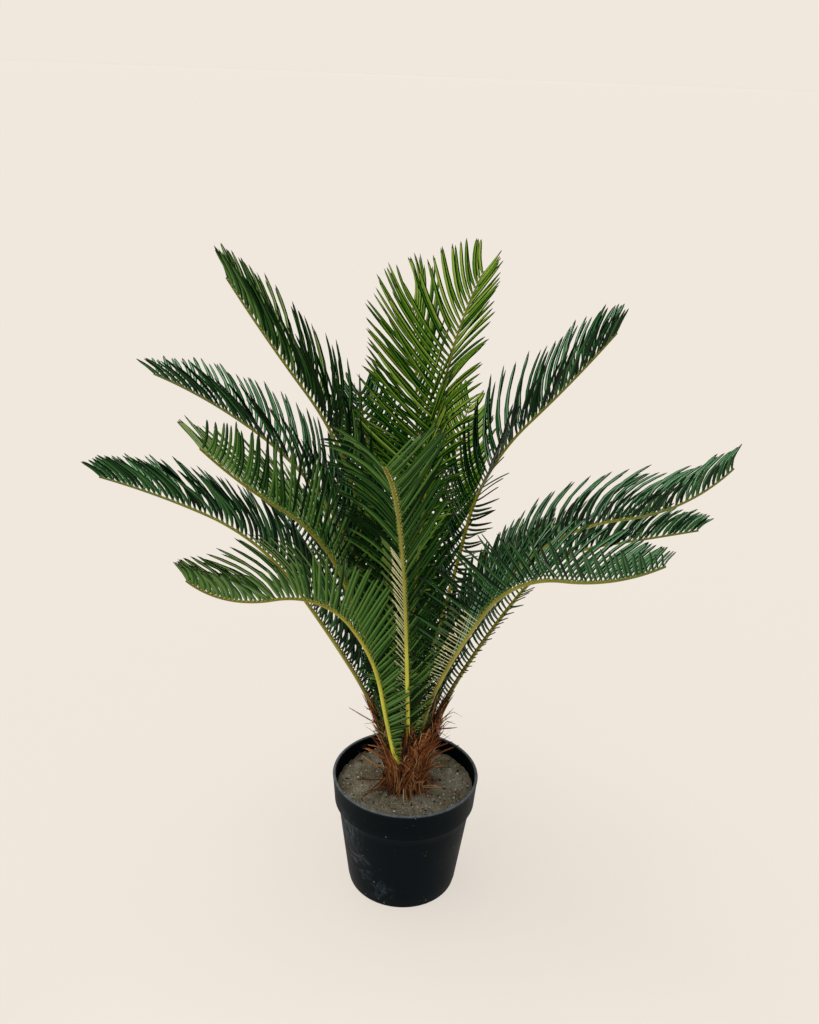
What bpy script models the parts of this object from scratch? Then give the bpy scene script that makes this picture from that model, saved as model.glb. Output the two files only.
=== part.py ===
# Artificial sago palm in a plastic nursery pot.
# Metres, +Z up. The origin is the middle of the pot's flat underside; the photographed side faces -Y.

import math

import bmesh
import bpy
import numpy as np
from mathutils.bvhtree import BVHTree

# Pot
POT_HEIGHT = 0.1313
RIM_RADIUS = 0.075
COLLAR_FOOT_RADIUS = 0.0725
COLLAR_HEIGHT = 0.032
COLLAR_STEP = 0.002
BODY_TOP_RADIUS = 0.069
FOOT_RADIUS = 0.056
FOOT_EDGE = 0.005
WALL = 0.0018
LIP_RADIUS = 0.0012
POT_SIDES = 48
SHARP_ANGLE = 35

# Fill: set mortar with grit, level below the rim
FILL_LEVEL = 0.1153
FILL_RIPPLE = 0.0012
FILL_WAVES_PER_METRE = (20.7, 17.5)
FILL_RINGS = (0.35, 0.65, 0.88)
GAP = 0.0003

# Stem: the bundle of frond stalks, wrapped in fibre
STEM_TOP = 0.190
STEM_SECTIONS = ((0.0, 0.0215), (0.25, 0.0195), (0.5, 0.0205), (0.75, 0.0245), (1.0, 0.0300))
STEM_SIDES = 24
STEM_LOBES = 7
STEM_LOBE_DEPTH = 0.0012
STEM_LEAN = 0.0015

# Frond blade: a keeled blade, with the rib as its thick middle
RIB_DEPTH = 0.0055
RIB_DEPTH_AT_TIP = 0.0025
BLADE_THICKNESS = 0.0016
STALK_REACH = 0.0030
STALK_FOOT = 0.0020
CLEARANCE = 0.0006
BEND_SHARE = 0.52
STALK_SECTIONS = 9
TIP_SECTIONS = 10
DRAW_IN = 0.86

# Slope and heading of a rib are read at five even stations from foot to tip
STATIONS = (0.0, 0.25, 0.5, 0.75, 1.0)

# How long the leaflets are along the rib, as a share of the frond's longest leaflet
LEAFLETS_START = 0.10
LENGTH_STATIONS = (0.0, 0.1, 0.25, 0.45, 0.65, 0.82, 0.93, 1.0)
LENGTH_SHARES = (0.20, 0.45, 0.80, 1.0, 1.0, 0.85, 0.62, 0.42)

# How far the leaflets lean towards the frond's tip, in degrees, from first leaflet to last
SWEEP_STATIONS = (0.0, 0.3, 0.8, 1.0)
SWEEP_ANGLES = (28, 40, 48, 52)


def frond(heading, swing, climb, length, foot, roll, lift, leaflet):
    """One frond's design sizes.

    heading is the compass direction it leaves in (0 is +X, 90 is +Y) and swing how far it turns by the tip.
    climb is the rib's slope above level at the five stations. foot is the angle, radius and height at which
    the rib starts inside the stem. roll turns the blade about its rib. lift is how far the leaflets rise
    above the blade's own level, at the first leaflet and at the last. leaflet is the longest leaflet.
    """
    return {
        "heading": heading,
        "swing": swing,
        "climb": climb,
        "length": length,
        "foot": foot,
        "roll": roll,
        "lift": lift,
        "leaflet": leaflet,
    }


FRONDS = {
    "left_top": frond(168, -2, (85.5, 75.5, 78.7, 50.5, 55), 0.498, (140, 0.010, 0.170), 12, (42, 42), 0.072),
    "left_back": frond(162, 3, (89, 76, 58, 31, 16), 0.474, (190, 0.013, 0.170), 12, (60, 37), 0.070),
    "left_front": frond(213, 13, (87, 71, 67, 38, 47), 0.426, (209, 0.019, 0.165), 12, (60, 40), 0.070),
    "left_inner": frond(135, 1, (67, 52, 47, 33, 13), 0.308, (142, 0.017, 0.160), 6, (50, 44), 0.072),
    "left_low": frond(177, -1, (72, 59, 55, 22, 13), 0.423, (193, 0.016, 0.158), 20, (46, 42), 0.072),
    "front_left": frond(214, 12, (73, 77, 54, 8, 47), 0.386, (256, 0.020, 0.150), 3, (52, 54), 0.072),
    "front_middle": frond(262, -2, (73, 73, 70, 60, 33), 0.431, (278, 0.019, 0.158), 0, (50, 46), 0.074),
    "crown_left": frond(92, 9, (78, 85, 93, 70, 56), 0.449, (92, 0.007, 0.165), -12, (56, 46), 0.086),
    "crown_right": frond(58, -3, (96, 87, 83, 74, 45), 0.489, (40, 0.003, 0.165), 9, (50, 42), 0.082),
    "right_top": frond(20, 2, (90, 76, 79, 41, 47), 0.470, (12, 0.012, 0.170), -14, (52, 42), 0.074),
    "right_front": frond(2, -8, (88, 68, 51, 10, 53), 0.446, (-18, 0.020, 0.165), 4, (56, 50), 0.064),
    "right_low": frond(22, -25, (71, 58, 52, 8, 14), 0.384, (21, 0.020, 0.158), -4, (54, 40), 0.064),
    "front_right": frond(-50, -1, (84, 64, 57, 17, 39), 0.442, (-58, 0.020, 0.160), 0, (42, 58), 0.070),
    "back_left": frond(118, -2, (98, 68, 71, 65, 67), 0.357, (122, 0.018, 0.165), -14, (50, 26), 0.072),
    "back_right": frond(74, -2, (106, 76, 63, 46, 39), 0.372, (62, 0.017, 0.165), 18, (56, 28), 0.072),
    "rear_middle": frond(97, 0, (66, 62, 36, 16, 10), 0.400, (97, 0.016, 0.158), 0, (50, 45), 0.072),
    "rear_right": frond(44, 0, (66, 60, 40, 24, 18), 0.280, (40, 0.017, 0.158), 0, (50, 45), 0.064),
    "rear_left": frond(124, 0, (66, 60, 38, 20, 14), 0.300, (118, 0.023, 0.158), 0, (50, 45), 0.066),
}


def clear_scene():
    for old in list(bpy.data.objects):
        bpy.data.objects.remove(old, do_unlink=True)


def plain_material(name, color, roughness):
    material = bpy.data.materials.new(name)
    material.use_nodes = True
    shader = material.node_tree.nodes["Principled BSDF"]
    shader.inputs["Base Color"].default_value = (*color, 1.0)
    shader.inputs["Roughness"].default_value = roughness
    shader.inputs["Metallic"].default_value = 0.0
    return material


def add_object(name, points, faces, material, smooth_angle):
    mesh = bpy.data.meshes.new(name)
    mesh.from_pydata([tuple(p) for p in points], [], faces)
    mesh.materials.append(material)
    mesh.update()
    mesh.shade_smooth()
    mesh.set_sharp_from_angle(angle=math.radians(smooth_angle))
    thing = bpy.data.objects.new(name, mesh)
    bpy.context.scene.collection.objects.link(thing)
    return thing


def turned_solid(name, profile, sides, material, smooth_angle):
    """A solid of revolution. Its profile runs from the axis, up the outside, to the axis again."""
    mesh = bmesh.new()
    rings = []
    for radius, height in profile:
        if radius < 1e-9:
            rings.append([mesh.verts.new((0.0, 0.0, height))])
            continue
        turns = [2 * math.pi * k / sides for k in range(sides)]
        rings.append([mesh.verts.new((radius * math.cos(a), radius * math.sin(a), height)) for a in turns])
    for low, high in zip(rings, rings[1:]):
        for k in range(sides):
            n = (k + 1) % sides
            if len(low) == 1:
                mesh.faces.new((low[0], high[n], high[k]))
            elif len(high) == 1:
                mesh.faces.new((low[k], low[n], high[0]))
            else:
                mesh.faces.new((low[k], low[n], high[n], high[k]))
    bmesh.ops.recalc_face_normals(mesh, faces=mesh.faces)
    data = bpy.data.meshes.new(name)
    mesh.to_mesh(data)
    mesh.free()
    data.materials.append(material)
    data.shade_smooth()
    data.set_sharp_from_angle(angle=math.radians(smooth_angle))
    thing = bpy.data.objects.new(name, data)
    bpy.context.scene.collection.objects.link(thing)
    return thing


def body_radius(height):
    """Outer radius of the pot's tapered body at a height."""
    return FOOT_RADIUS + (BODY_TOP_RADIUS - FOOT_RADIUS) * height / (POT_HEIGHT - COLLAR_HEIGHT)


def collar_radius(height):
    """Outer radius of the collar band at a height."""
    share = (height - (POT_HEIGHT - COLLAR_HEIGHT)) / COLLAR_HEIGHT
    return COLLAR_FOOT_RADIUS + (RIM_RADIUS - COLLAR_FOOT_RADIUS) * share


def make_pot(material):
    collar_foot = POT_HEIGHT - COLLAR_HEIGHT
    shoulder = collar_foot + COLLAR_STEP
    edge = [(FOOT_RADIUS - FOOT_EDGE * (1 - math.sin(a)), FOOT_EDGE * (1 - math.cos(a)))
            for a in (math.radians(d) for d in (0, 30, 60, 90))]
    lip = [(RIM_RADIUS - LIP_RADIUS * (1 - math.cos(a)), POT_HEIGHT - LIP_RADIUS * (1 - math.sin(a)))
           for a in (math.radians(d) for d in (0, 45, 90, 135, 180))]
    outside = [(0.0, 0.0), *edge, (body_radius(collar_foot), collar_foot),
               (COLLAR_FOOT_RADIUS, shoulder), *lip]
    inside = [(COLLAR_FOOT_RADIUS - WALL, shoulder + COLLAR_STEP),
              (body_radius(collar_foot) - WALL, collar_foot + COLLAR_STEP),
              (body_radius(WALL) - WALL, WALL), (0.0, WALL)]
    return turned_solid("pot", outside + inside, POT_SIDES, material, SHARP_ANGLE)


def make_fill(material):
    """The fill follows the inside of the pot and is slightly uneven on top."""
    foot = WALL + GAP
    ledge = POT_HEIGHT - COLLAR_HEIGHT + COLLAR_STEP
    inset = WALL + 2 * GAP
    edge_radius = collar_radius(FILL_LEVEL) - inset - GAP
    profile = [(0.0, foot), (body_radius(foot) - inset, foot),
               (body_radius(ledge - COLLAR_STEP) - inset, ledge),
               (COLLAR_FOOT_RADIUS - inset - GAP, ledge + COLLAR_STEP + 2 * GAP),
               (edge_radius, FILL_LEVEL - FILL_RIPPLE)]
    profile += [(edge_radius * share, FILL_LEVEL) for share in reversed(FILL_RINGS)]
    profile.append((0.0, FILL_LEVEL))
    fill = turned_solid("fill", profile, POT_SIDES, material, SHARP_ANGLE)
    level_ring = edge_radius * (FILL_RINGS[0] + FILL_RINGS[1]) / 2
    across, along = (2 * math.pi * count for count in FILL_WAVES_PER_METRE)
    for vertex in fill.data.vertices:
        x, y, z = vertex.co
        if z > FILL_LEVEL - GAP and math.hypot(x, y) > level_ring:
            vertex.co.z = z + FILL_RIPPLE * math.sin(x * across + 1) * math.cos(y * along)
    return fill


def make_stem(material):
    """The wrapped bundle: lobed sections with a slight waist, from a flat foot on the fill to a flat top."""
    foot = FILL_LEVEL + GAP
    points, faces = [], []
    for share, radius in STEM_SECTIONS:
        height = foot + (STEM_TOP - foot) * share
        for k in range(STEM_SIDES):
            turn = 2 * math.pi * k / STEM_SIDES
            lobe = radius + STEM_LOBE_DEPTH * math.cos(STEM_LOBES * turn + 2 * share)
            points.append((lobe * math.cos(turn) + STEM_LEAN * share, lobe * math.sin(turn), height))
    rows = len(STEM_SECTIONS)
    for row in range(rows - 1):
        for k in range(STEM_SIDES):
            n = (k + 1) % STEM_SIDES
            low, high = row * STEM_SIDES, (row + 1) * STEM_SIDES
            faces.append((low + k, low + n, high + n, high + k))
    faces.append(tuple(reversed(range(STEM_SIDES))))
    faces.append(tuple(range((rows - 1) * STEM_SIDES, rows * STEM_SIDES)))
    return add_object("stem", points, faces, material, SHARP_ANGLE)


def rib_frames(design, shares):
    """Points on the rib, with its forward, sideways and upper directions, at shares of its length.

    The slope runs evenly from station to station, so the rib is a chain of arcs. Its points are the
    running sum of its direction, from the foot inside the stem.
    """
    fine = np.linspace(0.0, 1.0, 201)
    slope = np.radians(np.interp(fine, STATIONS, design["climb"]))
    heading = np.radians(design["heading"] + design["swing"] * fine ** 2)
    forward = np.stack([np.cos(slope) * np.cos(heading), np.cos(slope) * np.sin(heading), np.sin(slope)], 1)
    side = np.stack([-np.sin(heading), np.cos(heading), 0 * heading], 1)
    upper = np.cross(forward, side)
    angle, radius, height = design["foot"]
    start = (radius * math.cos(math.radians(angle)), radius * math.sin(math.radians(angle)), height)
    steps = (forward[1:] + forward[:-1]) / 2 * design["length"] / (len(fine) - 1)
    points = np.vstack([start, start + np.cumsum(steps, 0)])
    roll = math.radians(design["roll"])
    rolled_side = side * math.cos(roll) + upper * math.sin(roll)
    rolled_upper = upper * math.cos(roll) - side * math.sin(roll)
    return [np.stack([np.interp(shares, fine, table[:, axis]) for axis in range(3)], 1)
            for table in (points, forward, rolled_side, rolled_upper)]


def share_at_height(design, height):
    """The share of a rib's length at which it first rises past a height."""
    shares = np.linspace(0.0, 0.5, 501)
    points = rib_frames(design, shares)[0]
    return shares[np.argmax(points[:, 2] > height)]


def leaflet_reach(design, shares):
    """Length of the leaflets at shares of the rib's length; the bare stalk keeps its own half width."""
    along = (shares - LEAFLETS_START) / (1 - LEAFLETS_START)
    reach = design["leaflet"] * np.interp(along, LENGTH_STATIONS, LENGTH_SHARES)
    return np.where(along < 0, STALK_REACH, np.maximum(reach, STALK_REACH))


def blade_points(design, shares, reach, extra):
    """Six points round the blade at each share of the rib.

    They are the keel, the right wing's under and top, the valley, and the left wing's top and under. The
    wings rise by the frond's lift and lean forward by the sweep. extra is added to every thickness.
    """
    points, forward, side, upper = rib_frames(design, shares)
    along = np.clip((shares - LEAFLETS_START) / (1 - LEAFLETS_START), 0, 1)
    lift = np.radians(np.interp(along, (0, 1), design["lift"]))
    sweep = np.radians(np.interp(along, SWEEP_STATIONS, SWEEP_ANGLES))
    depth = np.interp(shares, (0, 1), (RIB_DEPTH, RIB_DEPTH_AT_TIP)) / 2 + extra
    half = BLADE_THICKNESS / 2 + extra
    rows = [points - upper * depth[:, None]]
    for sign, column in ((-1, 0), (1, 1)):
        wing = sign * np.cos(lift)[:, None] * side + np.sin(lift)[:, None] * upper
        face = np.cos(lift)[:, None] * upper - sign * np.sin(lift)[:, None] * side
        spread = (reach[:, column] + extra)[:, None]
        end = points + spread * (np.cos(sweep)[:, None] * wing + np.sin(sweep)[:, None] * forward)
        pair = [end - half * face, end + half * face]
        if sign > 0:
            pair.reverse()
        rows += pair
        if sign < 0:
            rows.append(points + upper * depth[:, None])
    return np.stack(rows, 1)


def blade_faces(count):
    """Quads between neighbouring sections of six points."""
    faces = []
    for row in range(count - 1):
        for k in range(6):
            n = (k + 1) % 6
            low, high = row * 6, (row + 1) * 6
            faces.append((low + k, high + k, high + n, low + n))
    return faces


def end_caps(count):
    """Two quads close each end, one to each wing."""
    last = (count - 1) * 6
    first_cap = [(0, 1, 2, 3), (0, 3, 4, 5)]
    last_cap = [(last, last + 3, last + 2, last + 1), (last, last + 5, last + 4, last + 3)]
    return first_cap + last_cap


def tree_of(points, faces):
    return BVHTree.FromPolygons([tuple(p) for p in points], faces, all_triangles=False)


def clear_reach(name, design, shares, placed):
    """Draw each wing in, section by section, until a slightly thicker blade clears all that is placed."""
    reach = np.repeat(leaflet_reach(design, shares)[:, None], 2, axis=1)
    faces = blade_faces(len(shares)) + end_caps(len(shares))
    wall_count = 6 * (len(shares) - 1)
    while True:
        tree = tree_of(blade_points(design, shares, reach, CLEARANCE).reshape(-1, 3), faces)
        hits = {face for other in placed for face, _ in tree.overlap(other)}
        if not hits:
            return reach
        drawn = np.zeros(reach.shape, bool)
        for face in hits:
            if face < wall_count:
                row, column = face // 6, 0 if face % 6 < 3 else 1
                drawn[row:row + 2, column] = True
            else:
                drawn[0 if face < wall_count + 2 else -1, (face - wall_count) % 2] = True
        if np.all(reach[drawn] <= STALK_REACH):
            raise ValueError(f"the rib of {name} meets another near shares {shares[drawn.any(1)]}")
        reach = np.where(drawn, np.maximum(reach * DRAW_IN, STALK_REACH), reach)


def bare_blade(design, shares):
    """The blade as its rib alone, which the other fronds' wings keep clear of."""
    reach = np.full((len(shares), 2), STALK_REACH)
    points = blade_points(design, shares, reach, 0.0).reshape(-1, 3)
    return tree_of(points, blade_faces(len(shares)) + end_caps(len(shares)))


def blade_spans(name, design):
    """A frond is two blades that meet at its bend: the stalk, which clears the stem, and the arching tip."""
    start = share_at_height(design, STEM_TOP + STALK_FOOT)
    gap = GAP / design["length"]
    return {f"frond_{name}_stalk": np.linspace(start, BEND_SHARE - gap, STALK_SECTIONS),
            f"frond_{name}_tip": np.linspace(BEND_SHARE + gap, 1.0, TIP_SECTIONS)}


def make_fronds(stem, materials):
    """Wings are drawn in where they would cross the stem, another frond's rib or a wing made before them."""
    spans = {name: blade_spans(name, design) for name, design in FRONDS.items()}
    stem_points = [vertex.co for vertex in stem.data.vertices]
    placed = {"stem": tree_of(stem_points, [tuple(face.vertices) for face in stem.data.polygons])}
    for name, design in FRONDS.items():
        for piece, shares in spans[name].items():
            placed[piece] = bare_blade(design, shares)
    for index, (name, design) in enumerate(FRONDS.items()):
        for piece, shares in spans[name].items():
            others = [tree for other, tree in placed.items() if other != piece]
            reach = clear_reach(piece, design, shares, others)
            points = blade_points(design, shares, reach, 0.0).reshape(-1, 3)
            faces = blade_faces(len(shares)) + end_caps(len(shares))
            placed[piece] = tree_of(points, faces)
            add_object(piece, points, faces, materials[index % len(materials)], SHARP_ANGLE)


clear_scene()
black_plastic = plain_material("black_plastic", (0.012, 0.016, 0.019), 0.5)
grey_mortar = plain_material("grey_mortar", (0.19, 0.185, 0.16), 0.9)
brown_fibre = plain_material("brown_fibre", (0.13, 0.055, 0.025), 0.9)
leaf_greens = [plain_material("deep_leaf_green", (0.02, 0.085, 0.03), 0.4),
               plain_material("bright_leaf_green", (0.05, 0.13, 0.02), 0.4)]
make_pot(black_plastic)
make_fill(grey_mortar)
make_fronds(make_stem(brown_fibre), leaf_greens)
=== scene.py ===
# Artificial sago palm in a black nursery pot: its looks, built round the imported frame.
# Metres, +Z up. The photographed side faces -Y.

import math

import bpy
import numpy as np
from mathutils import Matrix, Vector


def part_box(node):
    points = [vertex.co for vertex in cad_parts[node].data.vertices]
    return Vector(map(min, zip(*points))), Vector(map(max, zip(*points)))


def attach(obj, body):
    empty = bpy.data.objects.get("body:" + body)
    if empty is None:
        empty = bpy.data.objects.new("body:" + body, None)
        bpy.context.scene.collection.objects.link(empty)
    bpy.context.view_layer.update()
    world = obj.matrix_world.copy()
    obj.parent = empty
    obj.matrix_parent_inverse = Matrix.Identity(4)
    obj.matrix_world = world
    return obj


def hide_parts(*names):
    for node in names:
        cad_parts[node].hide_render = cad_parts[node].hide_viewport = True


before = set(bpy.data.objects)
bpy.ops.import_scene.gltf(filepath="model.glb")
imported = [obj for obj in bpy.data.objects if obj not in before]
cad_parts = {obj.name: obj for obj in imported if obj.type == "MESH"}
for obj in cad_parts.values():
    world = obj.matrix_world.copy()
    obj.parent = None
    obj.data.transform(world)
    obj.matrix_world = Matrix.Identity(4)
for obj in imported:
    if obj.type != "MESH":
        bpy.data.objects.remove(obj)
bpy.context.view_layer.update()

print("frame loaded")


# Small tools

def screen(red, green, blue):
    # a screen colour, 0 to 255, as the linear values that shaders take
    shares = np.array([red, green, blue]) / 255
    return tuple(np.where(shares <= 0.04045, shares / 12.92, ((shares + 0.055) / 1.055) ** 2.4))


def unit(vectors):
    return vectors / np.linalg.norm(vectors, axis=-1, keepdims=True)


def blend(angle, first, second):
    # the direction at an angle from the first towards the second
    return np.cos(angle)[..., None] * first + np.sin(angle)[..., None] * second


def softNoise(points, size, seed):
    # random values on a lattice of the given cell size, blended smoothly between its corners, from -1 to 1
    table = np.random.default_rng(seed).uniform(-1, 1, 4096)
    scaled = np.asarray(points) / size
    cell = np.floor(scaled).astype(np.int64)
    part = scaled - cell
    ease = part * part * (3 - 2 * part)
    total = np.zeros(scaled.shape[:-1])
    for corner in np.ndindex(2, 2, 2):
        at = cell + np.array(corner)
        index = (at[..., 0] * 73856093 ^ at[..., 1] * 19349663 ^ at[..., 2] * 83492791) % 4096
        total += np.prod(np.where(corner, ease, 1 - ease), axis=-1) * table[index]
    return total


def gridFaces(count, rings, columns):
    # quads of count tubes whose rings have columns points each, then the polygons that close both ends
    ring, column = np.meshgrid(np.arange(rings - 1), np.arange(columns), indexing="ij")
    after = (column + 1) % columns
    quads = np.stack([ring * columns + column, ring * columns + after,
                      (ring + 1) * columns + after, (ring + 1) * columns + column], -1).reshape(-1, 4)
    first = np.arange(columns)[::-1]
    last = (rings - 1) * columns + np.arange(columns)
    start = (np.arange(count) * rings * columns)[:, None, None]
    return (start + quads).reshape(-1, 4), start[:, 0] + first, start[:, 0] + last


def fanFaces(first, sides, middle):
    # triangles from a ring of points, counted from the first, to the point in their middle
    turn = np.arange(sides)
    return np.stack([first + turn, first + (turn + 1) % sides, np.full(sides, middle)], -1)


def circle(sides):
    return np.arange(sides) / sides * 2 * np.pi


def polar(turn, reach, height):
    # points at an angle, a distance from the axis and a height
    return np.stack(np.broadcast_arrays(reach * np.cos(turn), reach * np.sin(turn), height), -1)


def sweepRings(centres, across, up, outline):
    # each ring is its outline, given across and up, laid round its centre
    return (centres[..., None, :] + across[..., None, :] * outline[..., 0:1]
            + up[..., None, :] * outline[..., 1:2])


def putPiece(name, points, faceGroups, finishes, slots=None, sharpColumns=(), columns=1, smooth=True):
    mesh = bpy.data.meshes.new(name)
    places = np.asarray(points, np.float32).reshape(-1, 3)
    corners = np.concatenate([group.ravel() for group in faceGroups]).astype(np.int32)
    sizes = np.concatenate([np.full(len(group), group.shape[1]) for group in faceGroups])
    mesh.vertices.add(len(places))
    mesh.vertices.foreach_set("co", places.ravel())
    mesh.loops.add(len(corners))
    mesh.loops.foreach_set("vertex_index", corners)
    mesh.polygons.add(len(sizes))
    mesh.polygons.foreach_set("loop_start", np.concatenate([[0], np.cumsum(sizes)[:-1]]).astype(np.int32))
    for finish in finishes:
        mesh.materials.append(finish)
    if slots is not None:
        mesh.polygons.foreach_set("material_index", np.asarray(slots, np.int32))
    mesh.polygons.foreach_set("use_smooth", np.full(len(sizes), smooth))
    mesh.update(calc_edges=True)
    if len(sharpColumns):
        ends = np.empty(len(mesh.edges) * 2, np.int32)
        mesh.edges.foreach_get("vertices", ends)
        low, high = ends.reshape(-1, 2).T % columns
        sharp = mesh.attributes.new("sharp_edge", "BOOLEAN", "EDGE")
        sharp.data.foreach_set("value", (low == high) & np.isin(low, sharpColumns))
    mesh.validate()
    piece = bpy.data.objects.new(name, mesh)
    bpy.context.scene.collection.objects.link(piece)
    return piece


def settle(piece, slotName, *nodes):
    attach(piece, "root")
    if nodes:
        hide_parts(*nodes)


# Finishes

def newFinish(name):
    finish = bpy.data.materials.new(name)
    finish.use_nodes = True
    return finish, finish.node_tree, finish.node_tree.nodes["Principled BSDF"]


def setSockets(node, values):
    for socket, value in values.items():
        node.inputs[socket].default_value = value


def feed(tree, socket, value):
    # a socket takes another node's output, a number or a screen colour
    if isinstance(value, tuple):
        socket.default_value = (*screen(*value), 1)
    elif isinstance(value, (int, float)):
        socket.default_value = value
    else:
        tree.links.new(value, socket)


def dress(tree, shader, colour, roughness, specular=0.5):
    for socket, value in (("Base Color", colour), ("Roughness", roughness), ("Specular IOR Level", specular)):
        feed(tree, shader.inputs[socket], value)


def plainFinish(name, colour, roughness, specular=0.5):
    finish, tree, shader = newFinish(name)
    dress(tree, shader, colour, roughness, specular)
    return finish


def join(tree, fromNode, fromName, toNode, toName):
    tree.links.new(fromNode.outputs[fromName], toNode.inputs[toName])


def noiseNode(tree, scale, stretch=(1, 1, 1), detail=4, roughness=0.55, distortion=0.0):
    place = tree.nodes.new("ShaderNodeTexCoord")
    turn = tree.nodes.new("ShaderNodeMapping")
    noise = tree.nodes.new("ShaderNodeTexNoise")
    setSockets(turn, {"Scale": stretch})
    setSockets(noise, {"Scale": scale, "Detail": detail, "Roughness": roughness, "Distortion": distortion})
    join(tree, place, "Object", turn, "Vector")
    join(tree, turn, "Vector", noise, "Vector")
    return noise.outputs["Fac"]


def rampNode(tree, source, stops):
    # stops is a list of (share, screen colour)
    ramp = tree.nodes.new("ShaderNodeValToRGB")
    while len(ramp.color_ramp.elements) < len(stops):
        ramp.color_ramp.elements.new(0.5)
    for element, (share, colour) in zip(ramp.color_ramp.elements, stops):
        element.position = share
        element.color = (*screen(*colour), 1)
    tree.links.new(source, ramp.inputs["Fac"])
    return ramp.outputs["Color"]


def rangeNode(tree, source, low, high, toLow=0.0, toHigh=1.0):
    node = tree.nodes.new("ShaderNodeMapRange")
    setSockets(node, {"From Min": low, "From Max": high, "To Min": toLow, "To Max": toHigh})
    tree.links.new(source, node.inputs["Value"])
    return node.outputs["Result"]


def mixNode(tree, share, first, second, mode="MIX"):
    node = tree.nodes.new("ShaderNodeMix")
    node.data_type = "RGBA"
    node.blend_type = mode
    for index, value in ((0, share), (6, first), (7, second)):
        feed(tree, node.inputs[index], value)
    return node.outputs[2]


def mathNode(tree, operation, first, second):
    node = tree.nodes.new("ShaderNodeMath")
    node.operation = operation
    feed(tree, node.inputs[0], first)
    feed(tree, node.inputs[1], second)
    return node.outputs[0]


def bumpNode(tree, shader, height, distance, strength=1.0):
    bump = tree.nodes.new("ShaderNodeBump")
    setSockets(bump, {"Distance": distance, "Strength": strength})
    tree.links.new(height, bump.inputs["Height"])
    join(tree, bump, "Normal", shader, "Normal")


def distanceNode(tree, spot):
    place = tree.nodes.new("ShaderNodeTexCoord")
    away = tree.nodes.new("ShaderNodeVectorMath")
    away.operation = "DISTANCE"
    away.inputs[1].default_value = spot
    join(tree, place, "Object", away, 0)
    return away.outputs["Value"]


def heightNode(tree):
    place = tree.nodes.new("ShaderNodeTexCoord")
    split = tree.nodes.new("ShaderNodeSeparateXYZ")
    join(tree, place, "Object", split, "Vector")
    return split.outputs["Z"]


# Fronds: the same ribs as the frame's blades, each a rib with two rows of leaflets

ribStations = (0.0, 0.25, 0.5, 0.75, 1.0)


# As in the frame, with angles in degrees: heading and its swing by the tip, slope at the stations, length,
# foot (angle, radius, height), roll, lift of the first and last leaflets, and longest leaflet
designParts = ("heading", "swing", "climb", "length", "foot", "roll", "lift", "leaflet")
frondDesigns = {name: dict(zip(designParts, values)) for name, *values in (
    ("left_top", 168, -2, (85.5, 75.5, 78.7, 50.5, 55), 0.498, (140, 0.010, 0.170), 12, (42, 42), 0.072),
    ("left_back", 162, 3, (89, 76, 58, 31, 16), 0.474, (190, 0.013, 0.170), 12, (60, 37), 0.070),
    ("left_front", 213, 13, (87, 71, 67, 38, 47), 0.426, (209, 0.019, 0.165), 12, (60, 40), 0.070),
    ("left_inner", 135, 1, (67, 52, 47, 33, 13), 0.308, (142, 0.017, 0.160), 6, (50, 44), 0.072),
    ("left_low", 177, -1, (72, 59, 55, 22, 13), 0.423, (193, 0.016, 0.158), 20, (46, 42), 0.072),
    ("front_left", 214, 12, (73, 77, 54, 8, 47), 0.386, (256, 0.020, 0.150), 3, (52, 54), 0.072),
    ("front_middle", 262, -2, (73, 73, 70, 60, 33), 0.431, (278, 0.019, 0.158), 0, (50, 46), 0.074),
    ("crown_left", 92, 9, (78, 85, 93, 70, 56), 0.449, (92, 0.007, 0.165), -12, (56, 46), 0.086),
    ("crown_right", 58, -3, (96, 87, 83, 74, 45), 0.489, (40, 0.003, 0.165), 9, (50, 42), 0.082),
    ("right_top", 20, 2, (90, 76, 79, 41, 47), 0.470, (12, 0.012, 0.170), -14, (52, 42), 0.074),
    ("right_front", 2, -8, (88, 68, 51, 10, 53), 0.446, (-18, 0.020, 0.165), 4, (56, 50), 0.064),
    ("right_low", 22, -25, (71, 58, 52, 8, 14), 0.384, (21, 0.020, 0.158), -4, (54, 40), 0.064),
    ("front_right", -50, -1, (84, 64, 57, 17, 39), 0.442, (-58, 0.020, 0.160), 0, (42, 58), 0.070),
    ("back_left", 118, -2, (98, 68, 71, 65, 67), 0.357, (122, 0.018, 0.165), -14, (50, 26), 0.072),
    ("back_right", 74, -2, (106, 76, 63, 46, 39), 0.372, (62, 0.017, 0.165), 18, (56, 28), 0.072),
    ("rear_middle", 97, 0, (66, 62, 36, 16, 10), 0.400, (97, 0.016, 0.158), 0, (50, 45), 0.072),
    ("rear_right", 44, 0, (66, 60, 40, 24, 18), 0.280, (40, 0.017, 0.158), 0, (50, 45), 0.064),
    ("rear_left", 124, 0, (66, 60, 38, 20, 14), 0.300, (118, 0.023, 0.158), 0, (50, 45), 0.066),
)}


# What a frond looks like unless it says otherwise; pairs are for the rows on the rib's right and left
commonLook = {
    "first": 0.08,  # where leaflets begin
    "pitch": 1.0,  # how far apart they are
    "curl": (0, 0),  # how much further their ends lean forward
    "straight": (0, 0),  # how far their curve is taken out
    "twist": (0, 0),  # how far their forward edge is raised
    "droop": (12, 12),
    "extra": (0, 0),  # how much higher the row stands
    "dip": (0, 0),  # how much lower it lies along the stalk
    "footLift": None,  # lift of the first leaflets, if not the design's
    "breadth": (1.0, 1.0),
    "reach": ((1, 1), (1, 1)),  # length of inner and outer leaflets
    "tip": (0, 1.0),  # lean and length of the last leaflets
    "pale": (0, 0),  # up to where leaflets have long pale feet
    # light moves a row's shades: up as painted sheen where above zero, down as painted shade where below
    "light": (0, 0),  # how many shades lighter they are
    "rib": "olive",
    "stand": 0.0,  # how far the rib's foot is off the wrap
    "wrapTop": 0.215,  # height up to which fibre clings to the stalk
}


def frondLook(tint, **given):
    return {**commonLook, "tint": tint, **given}


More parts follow.
